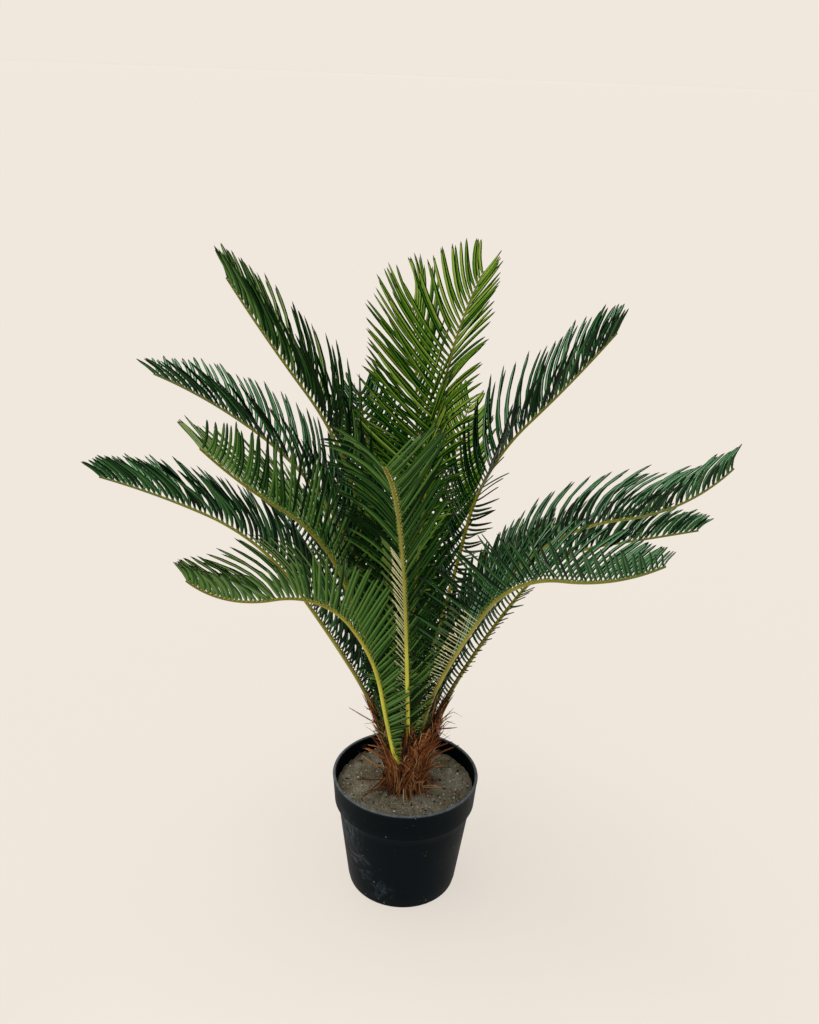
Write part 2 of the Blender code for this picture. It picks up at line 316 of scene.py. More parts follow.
frondLooks = {
    "left_top": frondLook("fresh", pitch=0.88, curl=(4, 4), straight=(0.2, 0.2), twist=(-16, -24),
        breadth=(0.9, 0.96), reach=((0.95, 1.18), (0.95, 1.18)), tip=(4, 1.1), light=(-0.3, -0.2)),
    "left_back": frondLook("deep", pitch=0.92, curl=(-2, -2), straight=(0.2, 0.4), twist=(-8, -28),
        breadth=(0.9, 0.88), tip=(-26, 1.0), light=(1.2, 0)),
    "left_front": frondLook("fresh", pitch=0.82, curl=(-2, -4), straight=(0.3, 0.9), twist=(-30, -6),
        breadth=(0.9, 0.76), reach=((1.0, 1.18), (1.0, 1.18)), tip=(-18, 1.0), light=(0.5, 0), rib="yellow"),
    "left_inner": frondLook("deep", curl=(4, 4), twist=(0, 20)),
    "left_low": frondLook("deep", pitch=0.92, curl=(-2, -2), straight=(0.2, 0.1), twist=(-22, -26),
        breadth=(0.85, 0.92), tip=(-18, 1.0), light=(0.9, 0.1), wrapTop=0.226),
    "front_left": frondLook("fresh", first=0.035, pitch=0.82, curl=(-4, -4), straight=(0.2, 0.95),
        twist=(-24, -4), footLift=0, breadth=(0.85, 1.05), tip=(6, 0.8), light=(1.0, 1.5), rib="yellow",
        stand=0.007, wrapTop=0.163),
    "front_middle": frondLook("fresh", first=0.06, pitch=0.84, curl=(-50, 0), straight=(0, 0.9),
        twist=(22, 14), droop=(40, 12), footLift=20, breadth=(0.86, 0.72), tip=(-30, 1.5), pale=(0.62, 0),
        light=(-0.2, 0.1), rib="yellow"),
    "crown_left": frondLook("bright", pitch=0.9, curl=(10, -30), straight=(0.8, 1.0), twist=(6, 4),
        breadth=(0.88, 0.88), reach=((0.88, 1.0), (0.78, 0.82)), tip=(26, 1.65), rib="yellow", wrapTop=0.25),
    "crown_right": frondLook("bright", pitch=0.9, curl=(-22, -16), straight=(1.3, 0.6), twist=(12, 0),
        breadth=(0.88, 0.98), reach=((0.72, 0.88), (1.0, 1.14)), tip=(14, 1.0), rib="yellow", wrapTop=0.255),
    "right_top": frondLook("deep", pitch=0.85, curl=(-30, 2), straight=(0.4, 0.4), twist=(-24, -6),
        dip=(54, 0), breadth=(0.9, 0.95), reach=((0.64, 1.0), (0.7, 1.12)), tip=(0, 1.1), light=(-0.3, 0.2),
        rib="yellow", wrapTop=0.24),
    "right_front": frondLook("deep", pitch=0.86, curl=(-30, 8), twist=(-18, -10), extra=(10, 0),
        breadth=(0.82, 0.9), reach=((0.62, 0.9), (0.8, 1.06)), light=(-0.5, 1.8), wrapTop=0.235),
    "right_low": frondLook("deep", pitch=0.9, curl=(-34, -2), twist=(-18, -8), extra=(20, 0), dip=(44, 0),
        breadth=(0.88, 0.9), reach=((0.5, 0.9), (0.85, 1.0)), light=(-0.4, 1.6), wrapTop=0.222),
    "front_right": frondLook("deep", first=0.04, pitch=0.85, curl=(-34, -10), straight=(0.2, 0.4),
        twist=(-4, -24), droop=(20, 12), footLift=20, breadth=(0.88, 0.88), tip=(0, 0.6), pale=(0.45, 0),
        light=(0.7, 0.9), wrapTop=0.2),
    "back_left": frondLook("deep", curl=(-6, -6), twist=(4, 8), wrapTop=0.24),
    "back_right": frondLook("bright", twist=(8, 8), reach=((0.5, 0.85), (0.65, 1.0)), wrapTop=0.24),
    "rear_middle": frondLook("deep", twist=(4, 4)),
    "rear_right": frondLook("fresh", twist=(-16, -6)),
    "rear_left": frondLook("deep", twist=(-6, -16)),
}

# Each palette: four shades for the leaflets' upper faces, three for the under faces, then neck, feet, pale
# feet and tip. The fourth upper shade shows only on the crests, as a painted highlight. The palettes differ
# partly in the fronds' own green and partly as painted light: bright for the lit, translucent crown fronds,
# deep for fronds in shade.
tints = {
    "deep": {
        "upper": ((2, 24, 9), (24, 76, 32), (68, 120, 68), (152, 186, 150)),
        "under": ((4, 26, 6), (18, 64, 20), (56, 106, 48)),
        "neck": (62, 92, 32), "foot": (152, 152, 50), "pale": (222, 218, 160), "tip": (16, 26, 12)},
    "fresh": {
        "upper": ((5, 34, 5), (44, 90, 24), (100, 138, 62), (170, 190, 122)),
        "under": ((10, 40, 7), (46, 88, 25), (92, 132, 52)),
        "neck": (90, 116, 38), "foot": (184, 182, 58), "pale": (222, 218, 160), "tip": (26, 36, 12)},
    "bright": {
        "upper": ((10, 58, 3), (72, 124, 24), (134, 168, 46), (184, 206, 92)),
        "under": ((12, 54, 4), (62, 112, 20), (112, 150, 40)),
        "neck": (116, 144, 34), "foot": (166, 176, 50), "pale": (222, 218, 160), "tip": (60, 62, 18)},
}
# the roughness of each face, the specular level of its darkest shade and how much more each lighter one has
tintGloss = {"upper": (0.34, 0.05, 0.06), "under": (0.42, 0.05, 0.04), "ends": (0.42, 0.35)}

leafletForm = {
    "rings": (0.0, 0.025, 0.06, 0.12, 0.24, 0.42, 0.62, 0.80, 0.93, 1.0),
    "widths": (1.05, 0.58, 0.64, 0.86, 1.0, 1.0, 0.96, 0.84, 0.55, 0.10),
    "paleWidths": (0.80, 0.40, 0.36, 0.38, 0.50, 0.82, 0.96, 0.84, 0.55, 0.10),
    # six points across: their places as shares of the width, and the rise of the crest and fall of the back
    "section": ((0.5, -0.10), (0.13, 0), (0, 0), (-0.13, 0), (-0.5, -0.10), (0, 0)),
    "offsets": ((0, 0), (0, 0), (0, 0.00045), (0, 0), (0, 0), (0, -0.0006)), "endShare": 0.6,
    "widthPerPitch": 0.68, "slimUnder": 0.03, "slimShare": 0.5, "twist": (12, -4),
    "pitch": (0.0045, 0.0064), "lastPlace": 0.995, "outFromRib": 0.0008, "endsFrom": 0.75,
    "reachAt": (0.3, 0.65), "liftAt": 0.35, "dipAt": (0.45, 0.7), "straightAt": 0.67,
    "lengthAt": (0, 0.1, 0.25, 0.45, 0.65, 0.82, 0.93, 1),
    "lengthShare": (0.20, 0.47, 0.82, 1.02, 1.04, 0.88, 0.62, 0.36), "sweepAt": (0, 0.3, 0.8, 1),
    "sweepFoot": (0, 5, 14, 34), "sweepTip": (54, 63, 69, 76),
    "spread": {"along": 0.0012, "length": 0.035, "lift": 3.0, "droop": 0.25, "lean": 2.5, "twist": 5,
               "breadth": 0.06},
    "shadeSpread": 2.3, "shadeRise": 1.2, "slots": {"neck": 7, "foot": 8, "pale": 9, "tip": 10},
}

ribForm = {
    "rings": 72, "sides": 12, "width": (0.0046, 0.0014), "depth": (0.0048, 0.0020), "taper": (0.35, 14),
    "groove": 0.16, "grooveWidth": 0.3, "standAt": (0, 0.07, 0.35),
}


def ribCurve(design, shares, stand=0.0):
    # The slope runs evenly from station to station and the heading turns with the square of the share; the
    # points are the running sum of that direction. Gives points, forward, sideways and upper directions.
    fine = np.linspace(0, 1, 201)
    slope = np.radians(np.interp(fine, ribStations, design["climb"]))
    heading = np.radians(design["heading"] + design["swing"] * fine ** 2)
    forward = polar(heading, np.cos(slope), np.sin(slope))
    side = np.stack([-np.sin(heading), np.cos(heading), 0 * heading], 1)
    upper = np.cross(forward, side)
    angle, radius, height = design["foot"]
    start = polar(math.radians(angle), radius, height)
    steps = (forward[1:] + forward[:-1]) / 2 * design["length"] / (len(fine) - 1)
    points = np.vstack([start, start + np.cumsum(steps, 0)])
    points[:, :2] += unit(points[:1, :2]) * (stand * np.interp(fine, ribForm["standAt"], (0, 1, 0)))[:, None]
    roll = np.radians(design["roll"])
    return [np.stack([np.interp(shares, fine, table[:, axis]) for axis in range(3)], 1)
            for table in (points, forward, blend(roll, side, upper), blend(roll, upper, -side))]


def leafletRow(design, look, side, seed):
    # One row of leaflets as rings of six points. A leaflet's middle line starts square to the rib, turns
    # forward quickly and then slowly, and sinks a little; its section is a thin bowed strap with a crest.
    form, spread = leafletForm, leafletForm["spread"]
    row = 0 if side < 0 else 1
    chance = np.random.default_rng(seed)
    first = look["first"]
    closest, widest = [pitch * look["pitch"] for pitch in form["pitch"]]
    count = int((1 - first) * design["length"] / ((closest + widest) / 2))
    order = np.linspace(0, 1, count)
    spaced = closest * order + (widest - closest) * order ** 2 / 2
    along = np.clip(spaced / spaced[-1] + chance.normal(0, spread["along"], count), 0, 1)
    places = first + (1 - first) * along * form["lastPlace"]
    points, forward, sideways, upper = ribCurve(design, places, look["stand"])

    last = np.clip((along - form["endsFrom"]) / (1 - form["endsFrom"]), 0, 1)
    tipLean, tipLength = look["tip"]
    length = design["leaflet"] * np.interp(along, form["lengthAt"], form["lengthShare"])
    length *= chance.normal(1, spread["length"], count)
    length *= np.interp(along, form["reachAt"], look["reach"][row])
    length *= 1 + (tipLength - 1) * last

    firstLift, lastLift = design["lift"]
    footLift = firstLift if look["footLift"] is None else look["footLift"]
    bend = form["liftAt"]
    lift = np.interp(along, (0, bend, 1), (footLift, firstLift + (lastLift - firstLift) * bend, lastLift))
    lift = lift + look["extra"][row] - look["dip"][row] * np.interp(along, form["dipAt"], (1, 0))
    lift = np.radians(lift + chance.normal(0, spread["lift"], count))
    droop = math.radians(look["droop"][row]) * chance.normal(1, spread["droop"], count)

    lean = chance.normal(0, spread["lean"], count)
    sweepFoot = np.interp(along, form["sweepAt"], form["sweepFoot"])
    sweepFoot = np.radians(sweepFoot + lean + tipLean * last / 2)
    sweepTip = np.interp(along, form["sweepAt"], form["sweepTip"]) + look["curl"][row]
    sweepTip = np.radians(sweepTip + lean + tipLean * last)
    gather = look["straight"][row] * (1 - last)
    middle = sweepFoot + form["straightAt"] * (sweepTip - sweepFoot)
    sweepFoot, sweepTip = [sweep + gather * (middle - sweep) for sweep in (sweepFoot, sweepTip)]
    twist = np.radians(look["twist"][row] + chance.normal(0, spread["twist"], count))

    def direction(x):
        # the middle line's direction and its forward edge's at shares x of the leaflet, leaflet by leaflet:
        # the sweep runs from foot to tip as 1 - (1 - x) squared, and the leaflet sinks as x to the power 1.5
        sweep = sweepFoot[:, None] + (sweepTip - sweepFoot)[:, None] * (1 - (1 - x) ** 2)
        rise = lift[:, None] - droop[:, None] * x ** 1.5
        wing = blend(rise, side * sideways[:, None], upper[:, None])
        return blend(sweep, wing, forward[:, None]), blend(sweep, forward[:, None], -wing)

    rings = np.array(form["rings"])
    between, _ = direction((rings[1:] + rings[:-1]) / 2)
    steps = between * np.diff(rings)[:, None] * length[:, None, None]
    start = points[:, None] + form["outFromRib"] * direction(rings[:1])[0]
    centres = np.concatenate([start, start + np.cumsum(steps, 1)], 1)

    ahead, edgeward = direction(rings)
    across = -side * edgeward
    up = np.cross(ahead, across)
    turn = np.radians(np.interp(rings, (0, 1), form["twist"])) + twist[:, None]
    turned = blend(turn, across, -side * up)
    up = np.cross(ahead, turned)

    breadth = look["breadth"][row] * form["widthPerPitch"] * (closest + (widest - closest) * order)
    slim = np.clip(length / form["slimUnder"], form["slimShare"], 1)
    breadth *= chance.normal(1, spread["breadth"], count) * slim
    pale = along < look["pale"][row]
    wide = breadth[:, None] * np.where(pale[:, None], form["paleWidths"], form["widths"])
    outline = wide[..., None, None] * np.array(form["section"]) + np.array(form["offsets"])
    outline[:, -1] *= form["endShare"]
    return sweepRings(centres, turned, up, outline), along, pale


def leafletSlots(along, pale, light, seed):
    # Slots 0 to 3 are upper shades, 4 to 6 under ones. Each segment has four upper faces (a margin in its
    # shade, two along the crest a shade lighter as a painted highlight, and the other margin darker, down to
    # the darkest shade, as painted shade) and two under ones (one in its shade, one a shade darker as painted
    # shade).
    # The foot is the first segment and the neck the second, or the first four and the fifth on pale leaflets.
    # Shades get lighter up the frond; light above zero moves them up as painted sheen, below zero down as
    # painted shade.
    form, ends = leafletForm, leafletForm["slots"]
    chance = np.random.default_rng(seed)
    count = len(along)
    shade = chance.uniform(0, form["shadeSpread"], count) + form["shadeRise"] * along ** 3 + light
    shade = np.clip(np.floor(shade), 0, 2).astype(int)
    slots = np.zeros((count, len(form["rings"]) - 1, 6), int)
    slots[:, :, 0] = shade[:, None]
    # the two crest faces, a shade lighter: a painted highlight
    slots[:, :, 1:3] = shade[:, None, None] + 1
    # the other margin, darker: painted shade
    slots[:, :, 3] = np.maximum(shade - 2 + (light > 1), 0)[:, None]
    slots[:, :, 4] = shade[:, None] + 4
    # the second under face, a shade darker: painted shade
    slots[:, :, 5] = np.maximum(shade - 1, 0)[:, None] + 4
    slots[:, 1] = ends["neck"]
    slots[:, 0] = ends["foot"]
    slots[pale, :4] = ends["pale"]
    slots[pale, 4] = ends["neck"]
    slots[:, -1] = ends["tip"]
    return slots.reshape(-1), np.where(pale, ends["pale"], ends["foot"]), np.full(count, ends["tip"])


def frondFinishes(tint):
    # in the order of the slots
    shades = []
    for face in ("upper", "under"):
        roughness, specular, more = tintGloss[face]
        shades += [plainFinish(f"leaf_{tint}_{face}_{number}", colour, roughness, specular + more * number)
                   for number, colour in enumerate(tints[tint][face])]
    return shades + [plainFinish(f"leaf_{tint}_{part}", tints[tint][part], *tintGloss["ends"])
                     for part in leafletForm["slots"]]


def ribFinish(name, stops):
    # coloured along the rib from the wrap to the tip, mottled all over
    finish, tree, shader = newFinish(name)
    along = tree.nodes.new("ShaderNodeAttribute")
    along.attribute_name = "along"
    mottle = noiseNode(tree, 90, (1, 1, 0.35), detail=3)
    wander = mathNode(tree, "ADD", along.outputs["Fac"], rangeNode(tree, mottle, 0, 1, -0.05, 0.05))
    blotch = rampNode(tree, mottle, [(0.35, (196, 188, 146)), (0.65, (255, 255, 255))])
    colour = mixNode(tree, 0.55, rampNode(tree, wander, stops), blotch, "MULTIPLY")
    dress(tree, shader, colour, rangeNode(tree, mottle, 0, 1, 0.3, 0.5), 0.35)
    bumpNode(tree, shader, noiseNode(tree, 600, (1, 1, 0.3), detail=2), 0.0002)
    return finish


def makeRib(name, design, finish, stand):
    # A tube along the rib: an oval section with a shallow groove on top, thinning from foot to tip
    form = ribForm
    shares = np.linspace(0, 1, form["rings"])
    points, _, sideways, upper = ribCurve(design, shares, stand)
    turn = circle(form["sides"])
    section = np.stack([np.cos(turn), np.sin(turn)], -1)
    hollow = np.exp(-(np.cos(turn) / form["grooveWidth"]) ** 2) * (np.sin(turn) > 0)
    section[:, 1] *= 1 - form["groove"] * hollow
    taperFoot, taperRise = form["taper"]
    taper = np.minimum(1, taperFoot + shares * taperRise)
    halves = [np.interp(shares, (0, 1), form[part]) / 2 * taper for part in ("width", "depth")]
    outline = section[None] * np.stack(halves, -1)[:, None]
    groups = gridFaces(1, form["rings"], form["sides"])
    piece = putPiece(name, sweepRings(points, -sideways, upper, outline), groups, [finish])
    values = np.repeat(shares, form["sides"]).astype(np.float32)
    piece.data.attributes.new("along", "FLOAT", "POINT").data.foreach_set("value", values)
    return piece


ribSkins = {
    "yellow": ribFinish("rib_yellow", [(0.0, (120, 92, 34)), (0.04, (240, 238, 84)), (0.3, (222, 216, 66)),
                                       (0.6, (166, 158, 48)), (1.0, (126, 122, 40))]),
    "olive": ribFinish("rib_olive", [(0.0, (96, 64, 30)), (0.10, (122, 108, 40)), (0.3, (172, 166, 56)),
                                     (0.7, (150, 150, 50)), (1.0, (110, 120, 42))]),
}
tintFinishes = {tint: frondFinishes(tint) for tint in tints}
for number, (name, design) in enumerate(frondDesigns.items()):
    look = frondLooks[name]
    rows, slots = [], []
    for side in (-1, 1):
        row, along, pale = leafletRow(design, look, side, 100 + 2 * number + side)
        rows.append(row)
        slots.append(leafletSlots(along, pale, look["light"][side > 0], 200 + 2 * number + side))
    rows = np.concatenate(rows)
    groups = gridFaces(len(rows), rows.shape[1], 6)
    slots = np.concatenate([part for parts in zip(*slots) for part in parts])
    leaflets = putPiece(f"leaflets_{name}", rows, groups, tintFinishes[look["tint"]], slots, (0, 4), 6)
    slotName = "leaf_bright" if look["tint"] == "bright" else "leaf_deep"
    settle(leaflets, slotName, f"frond_{name}_stalk", f"frond_{name}_tip")
    rib = makeRib(f"rib_{name}", design, ribSkins[look["rib"]], look["stand"])
    settle(rib, slotName)
print("fronds made:", len(frondDesigns))


# Pot: turned shell with a collar and a beaded lip, wall and foot closed

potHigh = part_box("pot")[1]
potForm = {
    "rimRadius": potHigh.x, "height": potHigh.z, "collarHeight": 0.032, "collarFootRadius": 0.0725,
    "collarEdge": 0.0008, "neckIn": 0.0004, "bodyTopRadius": 0.069, "footRadius": 0.056,
    "footRound": 0.0045, "footRing": [(0.0, 0.0008), (0.044, 0.0008), (0.0455, 0.0)], "wall": 0.0018,
    # heights of the greyer lip band: partly wear, partly a painted highlight
    "bead": 0.0016, "sides": 192, "sharpAngle": 40, "lipWearAndHighlightHeights": (0.1296, 0.1312),
}

# Scuffed patches: middle, radii at which each is gone and full, grain of its streaks, and strength
potScuffs = (
    ((-0.058, -0.034, 0.086), (0.030, 0.008), (1.6, 1.6, 0.45), 0.5),
    ((-0.044, -0.043, 0.046), (0.021, 0.006), (0.9, 0.9, 1.3), 0.55),
    ((-0.022, -0.056, 0.022), (0.018, 0.002), (1.2, 1.2, 0.8), 0.3),
)


def arc(centreRadius, centreHeight, radius, fromDegrees, toDegrees, count):
    # points on an arc, counted anticlockwise from straight out
    turn = np.radians(np.linspace(fromDegrees, toDegrees, count))
    return [(centreRadius + radius * math.cos(a), centreHeight + radius * math.sin(a)) for a in turn]


def makeTurned(name, profile, sides, finishes, relief=None):
    # the profile's first and last points lie on the axis, and every other one becomes a ring
    rings = polar(circle(sides), *np.array(profile[1:-1]).T[..., None])
    if relief is not None:
        rings = relief(rings)
    quads, _, _ = gridFaces(1, len(rings), sides)
    points = np.concatenate([rings.reshape(-1, 3), [(0, 0, profile[0][1]), (0, 0, profile[-1][1])]])
    lowFan = fanFaces(0, sides, len(points) - 2)[:, [1, 0, 2]]
    highFan = fanFaces((len(rings) - 1) * sides, sides, len(points) - 1)
    return putPiece(name, points, (quads, lowFan, highFan), finishes)


def potProfile():
    # from the middle of the underside out, up to the collar, over the beaded lip and down to the floor inside
    form = potForm
    top, rim, collar, foot = form["height"], form["rimRadius"], form["collarFootRadius"], form["footRadius"]
    body, wall, bead, edge = form["bodyTopRadius"], form["wall"], form["bead"], form["footRound"]
    step, neck, corner = top - form["collarHeight"], rim - form["neckIn"], form["collarEdge"]
    lean = (body - foot) / step
    outside = form["footRing"] + arc(foot - edge, edge, edge, -90, 0, 7)
    outside += [(foot + lean * height, height) for height in np.linspace(edge + 0.004, step - 0.0006, 10)]
    outside += [(body + 0.0004, step), (collar - corner, step + 0.0006)]
    outside += arc(collar - corner, step + 0.0014, corner, -60, 0, 4)
    outside += [(collar + (neck - collar) * share, step + 0.002 + (form["collarHeight"] - 0.0055) * share)
                for share in (0.3, 0.65, 1.0)]
    lip = arc(rim - bead, top - bead, bead, -35, 215, 13)
    inside = [(neck - wall, top - 2 * bead - 0.0008), (collar - wall, step + 0.004),
              (body - wall, step + 0.002), (foot - wall + lean * wall, wall), (0.0, wall)]
    return outside + lip + inside


def potFinish():
    # near-black plastic with a cool tint, greyer along the lip as wear and a painted highlight,
    # scuffed on the left, with dust
    finish, tree, shader = newFinish("pot_plastic")
    cloud = noiseNode(tree, 22, detail=5)
    colour = rampNode(tree, cloud, [(0.3, (2, 8, 13)), (0.7, (6, 16, 23))])
    # the greyer lip band: partly wear, partly a painted highlight
    lipWearAndHighlight = mathNode(tree, "MULTIPLY", rangeNode(tree, heightNode(tree), *potForm["lipWearAndHighlightHeights"]),
                    rangeNode(tree, noiseNode(tree, 240), 0.25, 0.75, 0.35, 1.0))
    colour = mixNode(tree, lipWearAndHighlight, colour, (140, 146, 150))
    for spot, reach, grain, strength in potScuffs:
        streak = noiseNode(tree, 70, grain, detail=8, roughness=0.72, distortion=1.4)
        scuff = mathNode(tree, "MULTIPLY", rangeNode(tree, distanceNode(tree, spot), *reach),
                         rangeNode(tree, streak, 0.47, 0.66, 0.0, strength))
        colour = mixNode(tree, scuff, colour, (112, 128, 140))
    dust = rangeNode(tree, noiseNode(tree, 330, detail=2, roughness=0.4), 0.74, 0.80, 0.0, 0.6)
    colour = mixNode(tree, dust, colour, (170, 172, 170))
    dress(tree, shader, colour, rangeNode(tree, cloud, 0.2, 0.8, 0.42, 0.62), 0.05)
    setSockets(shader, {"Specular Tint": (0.62, 0.92, 1.0, 1)})
    bumpNode(tree, shader, noiseNode(tree, 700, detail=3), 0.00015, 0.6)
    return finish


pot = makeTurned("pot_shell", potProfile(), potForm["sides"], [potFinish()])
pot.data.set_sharp_from_angle(angle=math.radians(potForm["sharpAngle"]))
settle(pot, "pot_plastic", "pot")
print("pot made")


# Fill: set mortar, uneven and pitted, with grit, crumbs and loose fibres on it

fillLow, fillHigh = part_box("fill")
fillForm = {
    "level": 0.1153, "radius": fillHigh.x, "foot": fillLow.z, "footRadius": 0.0538,
    "shoulder": (0.0668, 0.101), "topShares": (0.985, 0.02), "rings": 90, "sides": 260,
    # height, size and seed of the broad waves and of the rough skin
    "waves": ((0.0007, 0.022, 1), (0.0006, 0.007, 2), (0.0008, 0.0026, 3), (0.0004, 0.0013, 4)),
    # depth, size, seed and threshold of the pits
    "pits": (-0.0026, 0.0038, 5, 0.36),
    # height, radius and breadth of the heap round the stem
    "heap": (0.0014, 0.022, 0.007), "fadeDepth": 0.002, "fade": 0.001, "darkRim": (0.130, 0.1365),
}


def fillRelief(places):
    # waves and skin, less pits where another noise is over its threshold, plus a ring-shaped heap, its height
    # times e to the power -(distance from its radius / breadth) squared; it all fades out below the top
    form = fillForm
    flat = places * np.array([1, 1, 0])
    top = np.clip((places[..., 2] - form["level"] + form["fadeDepth"]) / form["fade"], 0, 1)
    rise = sum(height * softNoise(flat, size, seed) for height, size, seed in form["waves"])
    depth, size, seed, threshold = form["pits"]
    rise += depth * np.clip(softNoise(flat, size, seed) - threshold, 0, 1) / (1 - threshold)
    height, radius, breadth = form["heap"]
    rise += height * np.exp(-((np.hypot(places[..., 0], places[..., 1]) - radius) / breadth) ** 2)
    places[..., 2] += top * rise
    return places


def fillTop(x, y):
    spot = np.stack([x, y, np.full_like(x, fillForm["level"])], -1)
    return fillRelief(spot)[..., 2]


def mortarFinish():
    # pale uneven mortar with dark grain and hairs, darker and browner towards the pot's wall
    finish, tree, shader = newFinish("fill_mortar")
    broad = noiseNode(tree, 45)
    fine = noiseNode(tree, 900, detail=3, roughness=0.7)
    hairs = noiseNode(tree, 260, (1, 3.2, 1), detail=3, distortion=2.5)
    base = rampNode(tree, broad, [(0.3, (132, 122, 98)), (0.5, (168, 158, 134)), (0.68, (204, 196, 176))])
    grain = rampNode(tree, fine, [(0.36, (58, 56, 46)), (0.48, (190, 190, 180)), (0.58, (255, 255, 250))])
    colour = mixNode(tree, 0.75, base, grain, "MULTIPLY")
    colour = mixNode(tree, rangeNode(tree, hairs, 0.58, 0.66, 0.0, 0.5), colour, (150, 142, 118))
    rim = mathNode(tree, "MULTIPLY", rangeNode(tree, distanceNode(tree, (0, 0, 0)), *fillForm["darkRim"]),
                   rangeNode(tree, broad, 0.4, 0.6, 0.15, 0.8))
    dress(tree, shader, mixNode(tree, rim, colour, (74, 60, 38)), 0.9, 0.25)
    bumpNode(tree, shader, fine, 0.0005)
    return finish


def fillProfile():
    # from the middle of the foot out, up the wall and in along the top
    form = fillForm
    radius, level, foot = form["radius"], form["level"], form["foot"]
    side = [(0.0, foot), (form["footRadius"], foot), form["shoulder"], (radius - 0.0012, 0.104),
            (radius - 0.0005, level - 0.0035), (radius - 0.0006, level - 0.0004)]
    top = [(radius * share, level) for share in np.linspace(*form["topShares"], form["rings"])]
    return side + top + [(0.0, level)]


fill = makeTurned("fill_mortar", fillProfile(), fillForm["sides"], [mortarFinish()], fillRelief)
settle(fill, "fill_mortar", "fill")


pebbleForm = {"sides": 6, "uneven": (0.7, 1.15), "sway": (-0.25, 0.25), "tilt": (-0.3, 0.3),
              "ends": (-0.8, 0.9)}


def makePebbles(name, form, spots, sizes, shades, seed):
    # Each pebble is a six-sided double pyramid with an uneven waist ring, flattened, and turned at random
    common, sides = pebbleForm, pebbleForm["sides"]
    chance = np.random.default_rng(seed)
    count = len(spots)
    turn = circle(sides) + chance.uniform(0, 6.3, count)[:, None]
    uneven = chance.uniform(*common["uneven"], (count, sides))
    sway = chance.uniform(*common["sway"], (count, sides))
    waist = polar(turn, uneven, sway)
    tilt = chance.uniform(*common["tilt"], (count, 2))
    low, high = [np.concatenate([shift, np.full((count, 1), end)], 1)[:, None]
                 for shift, end in zip((tilt, -tilt), common["ends"])]
    shape = np.concatenate([waist, low, high], 1) * sizes[:, None, None] * np.array([1, 1, form["squash"]])
    faces = np.concatenate([fanFaces(0, sides, sides)[:, [1, 0, 2]], fanFaces(0, sides, sides + 1)])
    faces = (np.arange(count) * (sides + 2))[:, None, None] + faces
    finishes = [plainFinish(*values) for values in form["finishes"]]
    slots = np.repeat(shades, 2 * sides)
    return putPiece(name, shape + spots[:, None], [faces.reshape(-1, 3)], finishes, slots, smooth=False)


def scatter(count, lowRadius, highRadius, seed):
    chance = np.random.default_rng(seed)
    reach = np.sqrt(chance.uniform(lowRadius ** 2, highRadius ** 2, count))
    turn = chance.uniform(0, 2 * np.pi, count)
    return polar(turn, reach, fillTop(reach * np.cos(turn), reach * np.sin(turn)))


gritForm = {
    "count": 2100, "reach": (0.021, 0.0695), "size": (math.log(0.00052), 0.5), "sizes": (0.0002, 0.0019),
    "squash": 0.7,
    "finishes": (("grit_pale", (236, 234, 226), 0.5), ("grit_grey", (138, 138, 126), 0.85),
                 ("grit_dark", (24, 24, 20), 0.8), ("grit_tan", (128, 108, 74), 0.85)),
    "shares": (0.22, 0.30, 0.30, 0.18),
}


def makeGrit():
    form, count = gritForm, gritForm["count"]
    chance = np.random.default_rng(31)
    sizes = np.clip(chance.lognormal(*form["size"], count), *form["sizes"])
    shades = chance.choice(len(form["finishes"]), count, p=form["shares"])
    return makePebbles("fill_grit", form, scatter(count, *form["reach"], 32), sizes, shades, 33)


crumbForm = {
    "count": 34, "reach": (0.0, 0.012), "middle": (0.047, 0.034, 0), "lift": 0.0006,
    "sizes": (0.0006, 0.0015), "squash": 0.8,
    "finishes": (("crumb_green", (84, 104, 52), 0.8), ("crumb_olive", (112, 112, 60), 0.8)),
}


def makeCrumbs():
    # a loose group of green crumbs on the far side of the stem
    form, count = crumbForm, crumbForm["count"]
    spots = scatter(count, *form["reach"], 34) + np.array(form["middle"])
    spots[:, 2] = fillTop(spots[:, 0], spots[:, 1]) + form["lift"]
    chance = np.random.default_rng(35)
    sizes = chance.uniform(*form["sizes"], count)
    shades = chance.integers(0, len(form["finishes"]), count)
    return makePebbles("fill_crumbs", form, spots, sizes, shades, 36)


settle(makeGrit(), "fill_mortar")
settle(makeCrumbs(), "fill_mortar")
print("fill made")


# Stem: a bundle of stalks wrapped in palm fibre, as a ridged core under several layers of strands

stemLow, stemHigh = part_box("stem")
stemForm = {
    "foot": stemLow.z, "top": stemHigh.z, "heightShare": (0.0, 0.25, 0.5, 0.75, 1.0),
    "radius": (0.0215, 0.0195, 0.0205, 0.0245, 0.0300), "lean": 0.0015,
}


def stemRadius(height):
    share = (height - stemForm["foot"]) / (stemForm["top"] - stemForm["foot"])
    return np.interp(share, stemForm["heightShare"], stemForm["radius"])


def stemPoint(turn, height, stand):
    # a point that stands off the stem's surface by stand, at an angle and a height
    share = (height - stemForm["foot"]) / (stemForm["top"] - stemForm["foot"])
    return polar(turn, stemRadius(height) + stand, height) + share[..., None] * [stemForm["lean"], 0, 0]


coreForm = {
    "rings": 56, "sides": 120, "topIn": 0.001, "sink": 0.012,
    # height of each set of ridges, how many go round, how they slant, and where they start
    "ridges": ((0.0009, 31, 60, 0), (0.0006, 53, -90, 2)), "rough": (0.0012, 0.003, 41),
    "stretch": (0.02, 0.02, 0.25), "inside": 0.0012,
}


def coreFinish():
    finish, tree, shader = newFinish("fibre_core")
    streak = noiseNode(tree, 300, (1, 1, 0.12), detail=5, roughness=0.65, distortion=0.6)
    colour = rampNode(tree, streak, [(0.3, (24, 13, 7)), (0.5, (66, 38, 20)), (0.68, (106, 66, 38))])
    dress(tree, shader, colour, 0.85)
    bumpNode(tree, shader, streak, 0.0012)
    return finish


